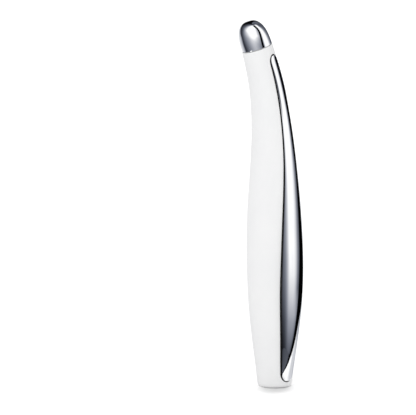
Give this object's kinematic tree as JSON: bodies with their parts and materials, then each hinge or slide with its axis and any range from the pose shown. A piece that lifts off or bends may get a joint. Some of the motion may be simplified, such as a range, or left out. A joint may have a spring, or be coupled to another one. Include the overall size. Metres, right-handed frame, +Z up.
{
  "type": "eye massager pen",
  "caption": "Curved hand piece with a rounded metal massage head, bright side strips, a back push button and a vibration motor in the neck, powered by a battery behind a base cap.",
  "frame": {"origin": "centre of the flat base, on the surface that the pen stands on", "axes": "+Z up along the pen from its base to its massage head, -Y towards the side that the head leans to (the hollow front), +Y towards the back with the button, +X towards the right-hand side strip"},
  "size_m": [0.0268, 0.0256, 0.1454],
  "materials": {
    "white_shell": "gloss",
    "bright_strip": "polished",
    "bright_head": "polished",
    "foam_tape": "matte",
    "contact_brass": "satin",
    "red_insulation": "satin",
    "grey_silicone": "matte",
    "battery_jacket": "satin",
    "plated_steel": "satin",
    "natural_nylon": "matte",
    "board_green": "satin",
    "black_resin": "satin",
    "tungsten_weight": "satin"
  },
  "bodies": {
    "hand_piece": {"front_shell": "white_shell", "rear_shell": "white_shell", "side_strip_left": "bright_strip", "side_strip_right": "bright_strip", "strip_tape_left": "foam_tape", "strip_tape_right": "foam_tape", "strip_contact_left": "contact_brass", "strip_contact_right": "contact_brass", "strip_lead_left": "red_insulation", "strip_lead_right": "red_insulation", "massage_head": "bright_head", "head_gasket": "grey_silicone", "battery": "battery_jacket", "positive_contact": "contact_brass", "negative_contact": "contact_brass", "inner_chassis": "natural_nylon", "circuit_board": "board_green", "board_screw_upper": "plated_steel", "board_screw_lower": "plated_steel", "controller_chip": "black_resin", "boost_coil": "black_resin", "filter_capacitor": "plated_steel", "switch_body": "plated_steel", "motor_can": "plated_steel", "motor_cradle": "grey_silicone", "motor_lead_positive": "red_insulation", "motor_lead_negative": "black_resin", "head_lead": "red_insulation"},
    "button": {"power_button": "white_shell"},
    "plunger": {"switch_plunger": "black_resin"},
    "rotor": {"motor_shaft": "plated_steel", "eccentric_weight": "tungsten_weight"},
    "cap": {"battery_cap": "white_shell", "cap_seal": "grey_silicone", "battery_spring": "plated_steel"}
  },
  "joints": [
    {"name": "button_press", "type": "slide", "parent": "hand_piece", "child": "button", "axis": [0, -0.9899, -0.1418], "range_m": [0, 0.0005], "stiffness_N_per_m": 600, "springref_m": -0.0002},
    {"name": "plunger_press", "type": "slide", "parent": "hand_piece", "child": "plunger", "axis": [0, -0.9899, -0.1418], "range_m": [0, 0.0005]},
    {"name": "motor_spin", "type": "hinge", "parent": "hand_piece", "child": "rotor", "pos_m": [0, -0.0064, 0.13073], "axis": [0, -0.2297, 0.9733], "continuous": true},
    {"name": "cap_pull", "type": "slide", "parent": "hand_piece", "child": "cap", "axis": [0, 0, -1], "range_m": [0, 0.01]}
  ],
  "couplings": [
    {"joint": "plunger_press", "follows": "button_press", "ratio": 0.9}
  ]
}
